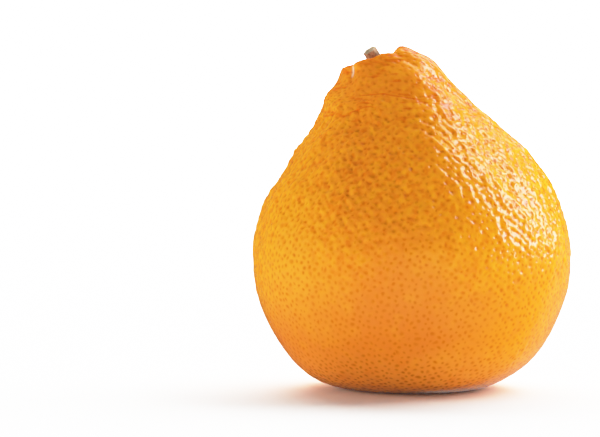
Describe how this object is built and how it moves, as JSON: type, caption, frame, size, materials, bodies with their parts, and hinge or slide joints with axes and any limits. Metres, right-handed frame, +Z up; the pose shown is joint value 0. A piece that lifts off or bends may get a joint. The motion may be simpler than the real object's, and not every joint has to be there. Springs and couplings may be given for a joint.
{
  "type": "satsuma mandarin",
  "caption": "Whole necked satsuma mandarin with pebbled peel, leaning furrowed neck, dried button and cut stalk, standing on its flat blossom end.",
  "frame": {"origin": "middle of the footprint of the whole fruit, on the surface that it stands on", "axes": "+Z up from the blossom end to the stem end, -Y towards the side that the picture shows, +X to that side's right; the neck leans to -X"},
  "size_m": [0.0746, 0.0748, 0.0803],
  "materials": {
    "peel": "waxy orange citrus peel with oil glands 1.6 to 2.8 mm apart, pebbled on the neck and shoulder",
    "calyx": "dried olive-brown button, matt",
    "stem": "dry grey-beige stalk with a dark pith on its cut end, matt"
  },
  "bodies": {
    "root": {"fruit": "peel", "calyx": "calyx", "stem": "stem"}
  },
  "joints": []
}
